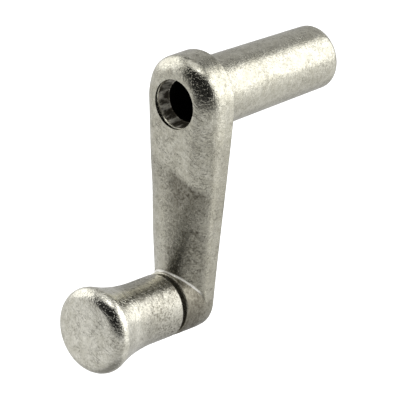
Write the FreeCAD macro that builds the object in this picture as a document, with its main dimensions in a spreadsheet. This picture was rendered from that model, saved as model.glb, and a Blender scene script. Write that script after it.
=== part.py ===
"""Crank handle of a window operator: a cast arm and barrel, its steel drive sleeve and a turning knob.

Frame: the origin is on the drive axis at the barrel's mouth. +Y runs out of the barrel, towards the window,
and +Z is up. The arm hangs down to -Z, and the knob points to -Y, towards the hand.
Every sub-part is drawn in a frame of its own whose +Y points to the hand, and is turned half round into place,
so lengths along the drive axis are depths measured forward from the barrel's mouth. Sizes are in millimetres.
"""
import FreeCAD, Part
import math
import os
import Sketcher

ORIGIN_POINT = (-1, 1)
AXIS_ACROSS = -1
AXIS_UP = -2
START = 1
END = 2
CENTRE = 3

SIZES = {
    # the casting, seen from the front: a hub circle and a foot circle joined by straight sides
    "hub_radius": 10.9,
    "foot_radius": 7.2,
    "throw": 46.9,
    # its depths, forward from the barrel's mouth
    "front_depth": 47.6,
    "plate_thickness": 8.6,
    "foot_lead": 1.1,
    "back_lead": 2.4,
    "front_round": 4.9,
    "back_round": 0.8,
    "boss_rise": 2.9,
    # the tapered barrel behind the hub
    "barrel_root_radius": 8.2,
    "barrel_mouth_radius": 7.5,
    "barrel_round": 1.9,
    # the stepped hole along the drive axis
    "recess_radius": 5.8,
    "recess_depth": 3.7,
    "rim_chamfer": 0.15,
    "core_radius": 4.9,
    "seat_radius": 5.6,
    "seat_depth": 20.0,
    # the steel drive sleeve pressed in from the mouth
    "pilot_radius": 4.15,
    "pilot_depth": 4.0,
    "serration_crest": 3.65,
    "serration_root": 4.05,
    "serration_teeth": 24,
    "web_thickness": 3.0,
    "screw_hole_radius": 2.4,
    # the knob, along its own axis from its base
    "groove_gap": 1.2,
    "neck_radius": 7.35,
    "neck_length": 6.9,
    "base_round": 0.5,
    "flare_radius": 40.0,
    "knob_radius": 10.0,
    "rim_round": 2.1,
    "dome_radius": 62.0,
    # the stem that the knob turns on, and its two washers
    "stem_radius": 2.4,
    "stem_bore_radius": 2.45,
    "stem_grip": 12.0,
    "washer_bore_radius": 2.55,
    "thrust_washer_radius": 5.7,
    "end_play": 0.05,
    "spot_radius": 4.5,
    "spot_depth": 40.4,
    "spot_floor": 43.2,
    "rear_washer_radius": 4.3,
    "rear_washer_thickness": 0.8,
    "rivet_head_radius": 3.7,
    "rivet_head_height": 1.2,
    "rivet_dome": 0.6,
}

doc = FreeCAD.newDocument("crank_handle")
sheet = doc.addObject("Spreadsheet::Sheet", "Sizes")


def fill_sheet():
    """Write every size as plain text in column B, with its name in column A and as its alias."""
    for row, (name, value) in enumerate(SIZES.items(), start=1):
        sheet.set(f"A{row}", name)
        sheet.set(f"B{row}", str(value))
        sheet.setAlias(f"B{row}", name)
    doc.recompute()


def bind(feature, prop, formula):
    """Drive a property by a formula in which a word in angle brackets is a size of the sheet."""
    feature.setExpression(prop, formula.replace("<", "Sizes.").replace(">", ""))


def worth(formula):
    """The number that the same kind of formula has now."""
    text = formula
    for name in sorted(SIZES, key=len, reverse=True):
        text = text.replace(f"<{name}>", repr(float(sheet.get(name))))
    probe = sheet.evalExpression(text)
    return float(getattr(probe, "Value", probe))


def new_body(name, depth="0", height="0"):
    """A body whose frame is turned half round about Z and set at a depth and a height."""
    body = doc.addObject("PartDesign::Body", name)
    body.Label = name
    place = FreeCAD.Vector(0, -worth(depth), worth(height))
    body.Placement = FreeCAD.Placement(place, FreeCAD.Rotation(FreeCAD.Vector(0, 0, 1), 180))
    return body


def new_sketch(body, name, role, depth=None, height=None):
    """A sketch on one of the body's origin planes; on XZ_Plane a depth moves it forward and a height up."""
    sketch = body.newObject("Sketcher::SketchObject", name)
    plane = [f for f in body.Origin.OriginFeatures if f.Role == role][0]
    sketch.AttachmentSupport = [(plane, "")]
    sketch.MapMode = "FlatFace"
    if depth is not None:
        bind(sketch, "AttachmentOffset.Base.z", f"-({depth})")
    if height is not None:
        bind(sketch, "AttachmentOffset.Base.y", height)
    return sketch


def pin_down(sketch, element, point, across, up):
    """Hold a point of a sketch at two formulas, measured from the sketch's origin."""
    for kind, formula, axis in (("DistanceX", across, AXIS_UP), ("DistanceY", up, AXIS_ACROSS)):
        if formula == "0":
            sketch.addConstraint(Sketcher.Constraint("PointOnObject", element, point, axis))
            continue
        value = worth(formula)
        number = sketch.addConstraint(Sketcher.Constraint(kind, *ORIGIN_POINT, element, point, value))
        bind(sketch, f"Constraints[{number}]", formula)


def draw_polygon(sketch, corners):
    """A closed polygon whose corners are pairs of formulas."""
    spots = [FreeCAD.Vector(worth(a), worth(b), 0) for a, b in corners]
    count = len(spots)
    for i in range(count):
        sketch.addGeometry(Part.LineSegment(spots[i], spots[(i + 1) % count]), False)
    for i in range(count):
        sketch.addConstraint(Sketcher.Constraint("Coincident", i, END, (i + 1) % count, START))
    for i, (a, b) in enumerate(corners):
        pin_down(sketch, i, START, a, b)


def draw_circle(sketch, radius):
    """A circle about the sketch's origin."""
    sketch.addGeometry(Part.Circle(FreeCAD.Vector(0, 0, 0), FreeCAD.Vector(0, 0, 1), worth(radius)), False)
    sketch.addConstraint(Sketcher.Constraint("Coincident", 0, CENTRE, *ORIGIN_POINT))
    number = sketch.addConstraint(Sketcher.Constraint("Radius", 0, worth(radius)))
    bind(sketch, f"Constraints[{number}]", radius)


def pad(body, name, sketch, length):
    """Push a sketch of the XZ plane forward by a length."""
    feature = body.newObject("PartDesign::Pad", name)
    feature.Profile = sketch
    feature.Reversed = True
    bind(feature, "Length", length)
    doc.recompute()
    return feature


def cut(body, kind, name, sketch, **settings):
    """A pocket or a groove, checked to have taken material away."""
    before = body.Shape.Volume
    feature = body.newObject(kind, name)
    feature.Profile = sketch
    for prop, value in settings.items():
        if isinstance(value, str) and "<" in value:
            bind(feature, prop, value)
        else:
            setattr(feature, prop, value)
    doc.recompute()
    if body.Shape.Volume > before - 1e-6:
        raise RuntimeError(f"{name} cut nothing")
    return feature


def revolve(body, name, sketch):
    """Turn a profile of the YZ plane about the body's own Y axis."""
    feature = body.newObject("PartDesign::Revolution", name)
    feature.Profile = sketch
    feature.ReferenceAxis = (sketch, ["H_Axis"])
    feature.Angle = 360.0
    doc.recompute()
    return feature


def groove(body, name, corners):
    """Turn a polygon of the YZ plane about the body's own Y axis and cut it away."""
    sketch = new_sketch(body, name + "_profile", "YZ_Plane")
    draw_polygon(sketch, corners)
    return cut(body, "PartDesign::Groove", name, sketch, ReferenceAxis=(sketch, ["H_Axis"]), Angle=360.0)


def round_edges(body, name, base, radius, is_wanted):
    """Fillet the edges of a feature whose every point passes a test, in the body's own frame."""
    names = []
    for number, edge in enumerate(base.Shape.Edges, start=1):
        if not edge.Degenerated and all(is_wanted(p) for p in edge.discretize(9)):
            names.append(f"Edge{number}")
    if not names:
        raise RuntimeError(f"{name} found no edge")
    feature = body.newObject("PartDesign::Fillet", name)
    feature.Base = (base, names)
    bind(feature, "Radius", radius)
    doc.recompute()
    return feature


def make_crank_arm():
    """The casting: a drafted plate outline with a big front round, a boss for the knob and a long barrel."""
    body = new_body("crank_arm")
    back = "<front_depth> - <plate_thickness>"
    margin = 1.0

    # outline: hub arc about the drive axis, foot arc about the knob axis, and the two common tangents
    sketch = new_sketch(body, "outline", "XZ_Plane", depth=f"{back} - {margin}")
    hub, foot, throw = (worth(f"<{n}>") for n in ("hub_radius", "foot_radius", "throw"))
    slant = math.asin((hub - foot) / throw)
    up = FreeCAD.Vector(0, 0, 1)
    foot_centre = FreeCAD.Vector(0, -throw, 0)
    hub_arc = Part.ArcOfCircle(Part.Circle(FreeCAD.Vector(), up, hub), -slant, math.pi + slant)
    foot_arc = Part.ArcOfCircle(Part.Circle(foot_centre, up, foot), math.pi + slant, 2 * math.pi - slant)
    sketch.addGeometry([hub_arc, foot_arc], False)
    sketch.addGeometry(Part.LineSegment(hub_arc.EndPoint, foot_arc.StartPoint), False)
    sketch.addGeometry(Part.LineSegment(foot_arc.EndPoint, hub_arc.StartPoint), False)
    for first, first_end, second, second_end in ((0, END, 2, START), (2, END, 1, START),
                                                 (1, END, 3, START), (3, END, 0, START)):
        sketch.addConstraint(Sketcher.Constraint("Tangent", first, first_end, second, second_end))
    sketch.addConstraint(Sketcher.Constraint("Coincident", 0, CENTRE, *ORIGIN_POINT))
    pin_down(sketch, 1, CENTRE, "0", "-<throw>")
    for arc, size in ((0, "<hub_radius>"), (1, "<foot_radius>")):
        number = sketch.addConstraint(Sketcher.Constraint("Radius", arc, worth(size)))
        bind(sketch, f"Constraints[{number}]", size)
    pad(body, "plate", sketch, f"<plate_thickness> + <foot_lead> + {2 * margin}")

    # both faces lean forward towards the foot, the back one more, so that the foot leads and is thinner
    top, bottom = "<hub_radius> + 1", "-(<throw> + <foot_radius> + 1)"
    front_lean, back_lean = "<foot_lead> / <throw>", "<back_lead> / <throw>"
    ahead_of_all = "<front_depth> + <foot_lead> + 3"
    for name, face, lean, beyond in (("front_lean", "<front_depth>", front_lean, ahead_of_all),
                                     ("back_lean", back, back_lean, f"{back} - 3")):
        sketch = new_sketch(body, name + "_profile", "YZ_Plane")
        draw_polygon(sketch, [(f"{face} - ({top}) * {lean}", top), (f"{face} - ({bottom}) * {lean}", bottom),
                              (beyond, bottom), (beyond, top)])
        plate = cut(body, "PartDesign::Pocket", name, sketch, Type="ThroughAll", Midplane=True)

    # how far a point lies in front of a leaning face
    def ahead(p, face, lean):
        return p.y - worth(face) + p.z * worth(lean)

    plate = round_edges(body, "front_round", plate, "<front_round>",
                        lambda p: abs(ahead(p, "<front_depth>", front_lean)) < 0.01)
    round_edges(body, "back_round", plate, "<back_round>", lambda p: abs(ahead(p, back, back_lean)) < 0.01)

    # the boss shares the foot's radius, so that the foot's underside runs straight out to the knob
    sketch = new_sketch(body, "boss_circle", "XZ_Plane", depth=f"{back} + <foot_lead> + 2", height="-<throw>")
    draw_circle(sketch, "<foot_radius>")
    pad(body, "boss", sketch, "<plate_thickness> + <boss_rise> - <foot_lead> - 2")

    # the barrel tapers towards its mouth; its root is buried in the hub
    sketch = new_sketch(body, "barrel_profile", "YZ_Plane")
    draw_polygon(sketch, [("0", "0"), ("0", "<barrel_mouth_radius>"), (f"{back} + 1", "<barrel_root_radius>"),
                          (f"{back} + 1", "0")])
    barrel = revolve(body, "barrel", sketch)
    round_edges(body, "mouth_round", barrel, "<barrel_round>",
                lambda p: abs(p.y) < 0.001 and math.hypot(p.x, p.z) > 1)

    lip = "<front_depth> - <recess_depth>"
    groove(body, "drive_hole", [
        ("0", "0"), ("0", "<seat_radius>"), ("<seat_depth>", "<seat_radius>"), ("<seat_depth>", "<core_radius>"),
        (lip, "<core_radius>"), (lip, "<recess_radius>"), ("<front_depth> - <rim_chamfer>", "<recess_radius>"),
        ("<front_depth> + 1", "<recess_radius> + <rim_chamfer> + 1"), ("<front_depth> + 1", "0")])

    # the stem's bore through the foot, with a flat spot sunk in the back for the washer
    sketch = new_sketch(body, "stem_circle", "XZ_Plane", height="-<throw>")
    draw_circle(sketch, "<stem_bore_radius>")
    cut(body, "PartDesign::Pocket", "stem_bore", sketch, Type="ThroughAll")
    sketch = new_sketch(body, "spot_circle", "XZ_Plane", depth="<spot_depth>", height="-<throw>")
    draw_circle(sketch, "<spot_radius>")
    cut(body, "PartDesign::Pocket", "spot_face", sketch, Type="Length",
        Length="<spot_floor> - <spot_depth>")
    return body


def make_drive_sleeve():
    """A steel sleeve with a plain pilot at the mouth, a serrated socket and a web for the fixing screw."""
    body = new_body("drive_sleeve")
    sketch = new_sketch(body, "outside", "XZ_Plane")
    draw_circle(sketch, "<seat_radius>")
    pad(body, "sleeve", sketch, "<seat_depth>")
    web = "<seat_depth> - <web_thickness>"
    groove(body, "socket", [
        ("0", "0"), ("0", "<pilot_radius>"), ("<pilot_depth>", "<pilot_radius>"),
        ("<pilot_depth>", "<serration_crest>"), (web, "<serration_crest>"), (web, "<screw_hole_radius>"),
        ("<seat_depth>", "<screw_hole_radius>"), ("<seat_depth>", "0")])

    # one vee between two teeth, deep enough into the bore to cut cleanly, and then the rest round the axis
    half = "tan(180 / <serration_teeth>) * <serration_crest>"
    inside = "<serration_crest> - 0.3"
    sketch = new_sketch(body, "vee", "XZ_Plane", depth="<pilot_depth>")
    draw_polygon(sketch, [(f"-({half}) * 0.8", inside), (f"-({half}) * 0.8", "<serration_crest>"),
                          ("0", "<serration_root>"), (f"{half} * 0.8", "<serration_crest>"),
                          (f"{half} * 0.8", inside)])
    vee = cut(body, "PartDesign::Pocket", "vee_cut", sketch, Type="Length",
              Length=f"{web} - <pilot_depth>")
    pattern = body.newObject("PartDesign::PolarPattern", "serration")
    pattern.Originals = [vee]
    pattern.Axis = (sketch, ["N_Axis"])
    pattern.Angle = 360
    bind(pattern, "Occurrences", "<serration_teeth>")
    body.Tip = pattern
    doc.recompute()
    return body


def make_knob():
    """A waisted knob: a straight neck, a hollow flare, a round rim and a shallow dome."""
    base = "<front_depth> + <boss_rise> + <groove_gap>"
    body = new_body("knob", depth=base, height="-<throw>")
    sketch = new_sketch(body, "knob_profile", "YZ_Plane")
    names = ("neck_radius", "neck_length", "flare_radius", "knob_radius", "rim_round", "dome_radius")
    neck, length, flare, rim_outside, rim, dome = (worth(f"<{n}>") for n in names)

    # centres of the three arcs, each tangent to the next
    rim_height = rim_outside - rim
    flare_height = neck + flare
    rim_along = length + math.sqrt((flare + rim) ** 2 - (flare_height - rim_height) ** 2)
    dome_along = rim_along - math.sqrt((dome - rim) ** 2 - rim_height ** 2)
    flare_turn = math.atan2(rim_height - flare_height, rim_along - length)
    dome_turn = math.atan2(rim_height, rim_along - dome_along)
    up = FreeCAD.Vector(0, 0, 1)

    def circle(along, height, radius):
        return Part.Circle(FreeCAD.Vector(along, height, 0), up, radius)

    flare_arc = Part.ArcOfCircle(circle(length, flare_height, flare), -math.pi / 2, flare_turn)
    rim_arc = Part.ArcOfCircle(circle(rim_along, rim_height, rim), dome_turn, flare_turn + math.pi)
    dome_arc = Part.ArcOfCircle(circle(dome_along, 0, dome), 0, dome_turn)
    corner = FreeCAD.Vector(0, neck, 0)
    centre = FreeCAD.Vector(0, 0, 0)
    sketch.addGeometry([Part.LineSegment(centre, corner), Part.LineSegment(corner, flare_arc.StartPoint)], False)
    sketch.addGeometry([flare_arc, rim_arc, dome_arc], False)
    sketch.addGeometry(Part.LineSegment(dome_arc.StartPoint, centre), False)
    for first, first_end, second, second_end in ((0, END, 1, START), (4, START, 5, START), (5, END, 0, START)):
        sketch.addConstraint(Sketcher.Constraint("Coincident", first, first_end, second, second_end))
    for first, first_end, second, second_end in ((1, END, 2, START), (2, END, 3, END), (3, START, 4, END)):
        sketch.addConstraint(Sketcher.Constraint("Tangent", first, first_end, second, second_end))
    sketch.addConstraint(Sketcher.Constraint("Coincident", 0, START, *ORIGIN_POINT))
    sketch.addConstraint(Sketcher.Constraint("Vertical", 0))
    sketch.addConstraint(Sketcher.Constraint("Horizontal", 5))
    pin_down(sketch, 1, END, "<neck_length>", "<neck_radius>")
    sketch.addConstraint(Sketcher.Constraint("Horizontal", 1))
    sketch.addConstraint(Sketcher.Constraint("PointOnObject", 4, CENTRE, AXIS_ACROSS))
    for arc, size in ((2, "<flare_radius>"), (3, "<rim_round>"), (4, "<dome_radius>")):
        number = sketch.addConstraint(Sketcher.Constraint("Radius", arc, worth(size)))
        bind(sketch, f"Constraints[{number}]", size)
    number = sketch.addConstraint(Sketcher.Constraint("DistanceY", *ORIGIN_POINT, 3, CENTRE, rim_height))
    bind(sketch, f"Constraints[{number}]", "<knob_radius> - <rim_round>")
    turned = revolve(body, "turned", sketch)
    round_edges(body, "base_edge", turned, "<base_round>",
                lambda p: abs(p.y) < 0.001 and math.hypot(p.x, p.z) > 1)
    groove(body, "stem_socket", [("0", "0"), ("0", "<stem_radius>"), ("<stem_grip>", "<stem_radius>"),
                                 ("<stem_grip>", "0")])
    return body


def make_knob_stem():
    """The steel stem: pressed in the knob, turning in the foot and peened over the washer behind it."""
    rear = "<spot_floor> - <rear_washer_thickness> - <end_play>"
    body = new_body("knob_stem", depth=f"{rear} - <rivet_head_height>", height="-<throw>")
    tip = "<front_depth> + <boss_rise> + <groove_gap> + <stem_grip>"
    sketch = new_sketch(body, "stem_profile", "YZ_Plane")
    reach = f"{tip} - ({rear}) + <rivet_head_height>"
    draw_polygon(sketch, [("0", "0"), ("0", "<rivet_head_radius>"), ("<rivet_head_height>", "<rivet_head_radius>"),
                          ("<rivet_head_height>", "<stem_radius>"), (reach, "<stem_radius>"), (reach, "0")])
    turned = revolve(body, "turned_stem", sketch)
    round_edges(body, "peened_dome", turned, "<rivet_dome>",
                lambda p: abs(p.y) < 0.001 and math.hypot(p.x, p.z) > 1)
    return body


def make_washer(name, depth, radius, thickness):
    """A flat washer on the stem, its back face at a depth."""
    body = new_body(name, depth=depth, height="-<throw>")
    sketch = new_sketch(body, name + "_profile", "YZ_Plane")
    draw_polygon(sketch, [("0", "<washer_bore_radius>"), ("0", radius), (thickness, radius),
                          (thickness, "<washer_bore_radius>")])
    revolve(body, name + "_ring", sketch)
    return body


def check_and_write(bodies):
    """Stop on a failed feature or a bad shape, then write one STEP file per sub-part."""
    doc.recompute()
    for thing in doc.Objects:
        if {"Invalid", "Error"} & set(thing.State):
            raise RuntimeError(f"{thing.Name}: {thing.State}")
    os.makedirs("parts", exist_ok=True)
    for body in bodies:
        shape = body.Shape
        if shape.isNull() or not shape.isValid() or len(shape.Solids) != 1:
            raise RuntimeError(f"{body.Label} isn't one valid solid")
        shape.exportStep(f"parts/{body.Label}.step")
        box = shape.BoundBox
        print(f"{body.Label}: {shape.Volume:.0f} mm3, X {box.XMin:.2f} to {box.XMax:.2f}, "
              f"Y {box.YMin:.2f} to {box.YMax:.2f}, Z {box.ZMin:.2f} to {box.ZMax:.2f}")


fill_sheet()
boss_face = "<front_depth> + <boss_rise>"
check_and_write([
    make_crank_arm(),
    make_drive_sleeve(),
    make_knob(),
    make_knob_stem(),
    make_washer("thrust_washer", boss_face, "<thrust_washer_radius>", "<groove_gap> - <end_play>"),
    make_washer("rear_washer", "<spot_floor> - <rear_washer_thickness>", "<rear_washer_radius>",
                "<rear_washer_thickness>"),
])
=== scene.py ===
# %% [markdown]
# A crank handle for a window operator, seen in a small studio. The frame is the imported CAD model: its
# bodies, its nodes and its measurements. The pieces that show are made here, in metres, round that frame.

# %% Load the frame
import math

import bmesh
import bpy
import numpy as np
from mathutils import Matrix, Vector


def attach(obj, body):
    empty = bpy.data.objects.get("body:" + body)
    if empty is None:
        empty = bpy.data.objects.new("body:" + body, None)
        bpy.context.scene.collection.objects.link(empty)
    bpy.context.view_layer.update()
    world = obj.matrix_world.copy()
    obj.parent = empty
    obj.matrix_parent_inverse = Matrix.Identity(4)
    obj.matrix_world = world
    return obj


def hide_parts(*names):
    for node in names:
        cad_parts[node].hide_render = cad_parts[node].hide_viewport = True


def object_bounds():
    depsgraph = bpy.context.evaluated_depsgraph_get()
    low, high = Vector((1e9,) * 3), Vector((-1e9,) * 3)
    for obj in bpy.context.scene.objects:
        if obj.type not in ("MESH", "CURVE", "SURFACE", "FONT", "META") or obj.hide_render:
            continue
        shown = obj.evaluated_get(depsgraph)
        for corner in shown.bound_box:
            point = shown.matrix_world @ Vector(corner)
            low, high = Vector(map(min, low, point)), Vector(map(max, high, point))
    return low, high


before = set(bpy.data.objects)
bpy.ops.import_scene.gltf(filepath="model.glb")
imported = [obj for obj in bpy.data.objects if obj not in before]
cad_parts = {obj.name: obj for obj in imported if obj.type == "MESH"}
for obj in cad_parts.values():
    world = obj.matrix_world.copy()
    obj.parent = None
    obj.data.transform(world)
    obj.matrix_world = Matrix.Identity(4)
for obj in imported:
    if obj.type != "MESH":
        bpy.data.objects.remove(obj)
cad_low, cad_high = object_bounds()
MM = 0.001
print("CAD box in mm:", [round(v / MM, 2) for v in (*cad_low, *cad_high)])

# %% [markdown]
# The camera is a long lens far away, as used for small hardware, so that lines that are parallel on the
# handle stay nearly parallel in the view. A wide lens close by would make the knob look too big beside the
# hub.

# %% Directions


def direction(azimuth, elevation):
    """The unit vector from the handle to a place: azimuth 0 is in front, on -Y, and 90 is on +X."""
    a, e = math.radians(azimuth), math.radians(elevation)
    return Vector((math.sin(a) * math.cos(e), -math.cos(a) * math.cos(e), math.sin(e)))


def look_from(back, roll=0.0):
    """A turn whose local Z is back and whose X is level, then rolled about back by some degrees."""
    level = Vector((-back.y, back.x, 0)).normalized()
    turn = Matrix((level, back.cross(level), back)).transposed()
    return turn @ Matrix.Rotation(math.radians(roll), 3, "Z")


print("the front is", tuple(round(v) for v in direction(0, 0)))

# %% Camera
CAMERA_AZIMUTH, CAMERA_ELEVATION, CAMERA_ROLL = 42.617, 20.283, 0.492
CAMERA_DISTANCE, CLIP_END = 1.2024, 20
SENSOR, MM_ACROSS_VIEW = 36.0, 89.928
AIM_OFFSET = Vector((2.79, -3.85, -0.5)) * MM
aim = (cad_low + cad_high) / 2 + AIM_OFFSET
camera_data = bpy.data.cameras.new("camera")
camera_data.sensor_width = SENSOR
camera_data.lens = SENSOR * CAMERA_DISTANCE / (MM_ACROSS_VIEW * MM)
camera_data.clip_end = CLIP_END
camera = bpy.data.objects.new("camera", camera_data)
bpy.context.scene.collection.objects.link(camera)
back = direction(CAMERA_AZIMUTH, CAMERA_ELEVATION)
turn = look_from(back, CAMERA_ROLL).to_4x4()
camera.matrix_world = Matrix.Translation(aim + back * CAMERA_DISTANCE) @ turn
bpy.context.scene.camera = camera
bpy.context.scene.view_settings.view_transform = "Standard"
print("lens in mm:", round(camera_data.lens, 1))

# %% [markdown]
# The real handle is a zinc die casting, so its faces flow into each other. Every piece here is a surface
# worked out with numpy and handed to Blender as one closed mesh. Lathe work is a profile turned about an
# axis. The casting is a grid whose columns run round a keyhole outline and whose rows run along ribs from
# the holes to the outline, because a grid that follows the shape keeps its highlights clean, where a
# boolean would break them.

# %% From arrays to a mesh
SAME_POINT, NO_LENGTH = 3e-7, 1e-7


def grid_faces(rows, columns, around):
    """Quads between neighbouring rows and columns of a grid; around joins the last column to the first."""
    row = np.arange(rows - 1)[:, None]
    column = np.arange(columns if around else columns - 1)[None, :]
    after = (column + 1) % columns
    corners = (row * columns + column, row * columns + after, (row + 1) * columns + after,
               (row + 1) * columns + column)
    return np.stack([np.broadcast_to(c, (rows - 1, column.size)).ravel() for c in corners], axis=1)


def make_piece(name, grids, sharp_degrees=38):
    """One closed mesh from grids of points in mm: doubles merged, faces outward, shaded smooth but for the
    edges sharper than an angle."""
    points, quads, start = [], [], 0
    for grid in grids:
        rows, columns, _ = grid.shape
        points.append(grid.reshape(-1, 3) * MM)
        quads.append(grid_faces(rows, columns, True) + start)
        start += rows * columns
    mesh = bpy.data.meshes.new(name)
    mesh.from_pydata(np.concatenate(points), [], np.concatenate(quads))
    work = bmesh.new()
    work.from_mesh(mesh)
    bmesh.ops.remove_doubles(work, verts=work.verts, dist=SAME_POINT)
    bmesh.ops.dissolve_degenerate(work, edges=work.edges, dist=NO_LENGTH)
    bmesh.ops.recalc_face_normals(work, faces=work.faces)
    open_edges = sum(not edge.is_manifold for edge in work.edges)
    volume = work.calc_volume(signed=True) / MM ** 3
    work.to_mesh(mesh)
    work.free()
    mesh.shade_smooth()
    mesh.set_sharp_from_angle(angle=math.radians(sharp_degrees))
    piece = bpy.data.objects.new(name, mesh)
    bpy.context.scene.collection.objects.link(piece)
    triangles = sum(len(face.vertices) - 2 for face in mesh.polygons)
    print(f"{name}: {triangles} triangles, {open_edges} open edges, {volume:.0f} mm3")
    return piece


# %% Lathe profiles


def turn_profile(profile, angles, height=0.0):
    """Lathe work: each (depth, radius) of a profile goes round an axis parallel to Y at a height.

    x = radius cos(angle), y = -depth, z = height + radius sin(angle).
    """
    depth, radius = (column[:, None] for column in np.asarray(profile, float).T)
    x, z = radius * np.cos(angles), height + radius * np.sin(angles)
    return np.stack([x, np.broadcast_to(-depth, x.shape), z], axis=2)


def arc(depth, radius, size, start, stop, steps):
    """Points of a profile on a circle: angle 0 points forward, along depth, and 90 away from the axis."""
    a = np.radians(np.linspace(start, stop, steps))
    return np.stack([depth + size * np.cos(a), radius + size * np.sin(a)], axis=1)


def line(start, stop, steps):
    """Evenly spaced points of a profile from one (depth, radius) to another."""
    return np.linspace(start, stop, steps)


def smooth_step(low, high, value):
    """0 below low, 1 above high, and 3t^2 - 2t^3 between."""
    t = np.clip((value - low) / (high - low), 0, 1)
    return t * t * (3 - 2 * t)


print("smooth_step halfway up:", smooth_step(0, 1, 0.5))

# %% [markdown]
# The casting's outline is a hub circle and a smaller foot circle joined by their two common tangents. Two
# loops of points are needed: the outline, and an inner loop that goes round the hub hole, down the arm's
# spine and round the stem's hole. Where the inner loop runs down the spine, its left and right halves meet
# and merge.

# %% The keyhole outline
HUB_RADIUS, FOOT_RADIUS, THROW = 10.7, 7.35, 46.9
RIM_RADIUS, BORE_RADIUS, ROOT_RADIUS, SPOT_RADIUS = 5.78, 2.45, 8.1, 4.5
QUARTER = math.pi / 2
NARROWING = (HUB_RADIUS - FOOT_RADIUS) / THROW
SLANT = math.asin(NARROWING)
SIDE_LENGTH = THROW * math.cos(SLANT)
HUB_STEPS, UNDER_STEPS, OVER_STEPS, FOOT_STEPS = 60, 34, 26, 44
hub_angles = np.concatenate([np.linspace(QUARTER, -SLANT, HUB_STEPS),
                             np.linspace(-SLANT, -QUARTER, UNDER_STEPS)[1:]])
foot_angles = np.concatenate([np.linspace(QUARTER, -SLANT, OVER_STEPS),
                              np.linspace(-SLANT, -QUARTER, FOOT_STEPS)[1:]])
# Where the spine's points are, as start, stop and count: they crowd together where it meets the boss.
SPINE_RUNS = ((0, 0.84, 76), (0.84, 0.91, 26), (0.91, 1, 12))
spine = np.concatenate([np.linspace(*run)[1:] for run in SPINE_RUNS])[:-1]
UNDER_SHARE, OVER_SHARE = 0.2, 0.93
print("points on the spine:", len(spine), "and the side's slant in degrees:", round(math.degrees(SLANT), 2))

# %% Loops of points


def circle(angles, radius, height=0.0):
    """Points (x, z) of a circle about an axis at a height."""
    return np.stack([radius * np.cos(angles), height + radius * np.sin(angles)], axis=1)


def right_half(hub_hole, foot_hole):
    """The right halves of the two loops, point for point, so that no rib from one to the other crosses the
    next. The inner one is an arc, the spine and an arc, and the outer an arc, the tangent and an arc."""
    run = hub_hole + (THROW - foot_hole - hub_hole) * spine
    inner = np.concatenate([circle(hub_angles, hub_hole), np.stack([0 * run, -run], axis=1),
                            circle(foot_angles, foot_hole, -THROW)])
    share = np.concatenate([np.linspace(0, UNDER_SHARE, UNDER_STEPS)[1:],
                            UNDER_SHARE + (OVER_SHARE - UNDER_SHARE) * spine,
                            np.linspace(OVER_SHARE, 1, OVER_STEPS)])
    along = np.array([-math.sin(SLANT), -math.cos(SLANT)]) * SIDE_LENGTH
    side = circle(np.array([-SLANT]), HUB_RADIUS) + share[:, None] * along
    outer = np.concatenate([circle(hub_angles[:HUB_STEPS], HUB_RADIUS), side,
                            circle(foot_angles[OVER_STEPS:], FOOT_RADIUS, -THROW)])
    return inner, outer


def whole(half):
    """A closed loop from its right half: the left half is the mirror image, and comes back up."""
    return np.concatenate([half, (half * (-1, 1))[-2:0:-1]])


def ring(angles):
    """The angles of a whole circle whose right half is given from top to bottom."""
    return np.concatenate([angles, math.pi - angles[-2:0:-1]])


def inside_outline(x, z):
    """How far a point lies inside the outline, and how far the arm's spine does abreast of it."""
    side, down = np.abs(x), -z
    along = math.cos(SLANT) * down - NARROWING * side
    hub = HUB_RADIUS - np.hypot(side, down)
    foot = FOOT_RADIUS - np.hypot(side, down - THROW)
    between = HUB_RADIUS - math.cos(SLANT) * side - NARROWING * down
    inside = np.where(along < 0, hub, np.where(along > math.cos(SLANT) * THROW, foot, between))
    spine_inside = HUB_RADIUS - NARROWING * np.clip(along / math.cos(SLANT), 0, THROW)
    return inside, spine_inside


print("points on each loop:", len(whole(right_half(RIM_RADIUS, BORE_RADIUS)[1])))

# %% [markdown]
# The front of the casting is a plate with a big round on its edge. Down the arm the round grows until it
# meets itself on the spine, which makes the arm's section a D, and the spine comes forward to the foot's
# boss. A bevel on a solid could round the edge, but it can't change its section along the way. So the depth
# is a function of the place on the outline.

# %% The front's depth
FRONT, FRONT_LEAN = 47.6, 1.1
RIDGE_DIP, DIP_SPAN, RIDGE_RISE, RISE_SPAN = 0.35, (10, 24), 2.1, (20, 43)
HUB_ROUND, HUB_EDGE, FOOT_EDGE, EDGE_SPAN = 4.85, 41.7, 44.3, (1, 38)
TOP_EDGE_RISE, TOP_EDGE_SPAN, TOP_ROUND_LESS, TOP_ROUND_SPAN = 2.3, (1, 9), 0.9, (1, 10)
CROWN_SPAN, CROWN_SHARE = (14, 40), 0.985
HUB_BEND, FOOT_BEND, BEND_SPAN = 2.0, 1.55, (24, 42)


def front_depth(x, z):
    """Face depth less the edge's round, a superellipse as deep and as wide as the round is there. Its power
    is 2 at the hub, so the round is an ellipse, and less down the arm, where the flanks are flatter."""
    inside, spine_inside = inside_outline(x, z)
    width = HUB_ROUND + (CROWN_SHARE * spine_inside - HUB_ROUND) * smooth_step(*CROWN_SPAN, -z)
    ridge = FRONT + FRONT_LEAN * -z / THROW
    ridge = ridge - RIDGE_DIP * smooth_step(*DIP_SPAN, -z) + RIDGE_RISE * smooth_step(*RISE_SPAN, -z)
    edge = HUB_EDGE + (FOOT_EDGE - HUB_EDGE) * smooth_step(*EDGE_SPAN, -z)
    edge = edge + TOP_EDGE_RISE * smooth_step(*TOP_EDGE_SPAN, z)
    width = width - TOP_ROUND_LESS * smooth_step(*TOP_ROUND_SPAN, z)
    up_the_round = np.clip(1 - inside / width, 0, 1)
    bend = HUB_BEND + (FOOT_BEND - HUB_BEND) * smooth_step(*BEND_SPAN, -z)
    fall = (ridge - edge) * (1 - np.clip(1 - up_the_round ** bend, 0, 1) ** (1 / bend))
    return ridge - fall


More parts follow.
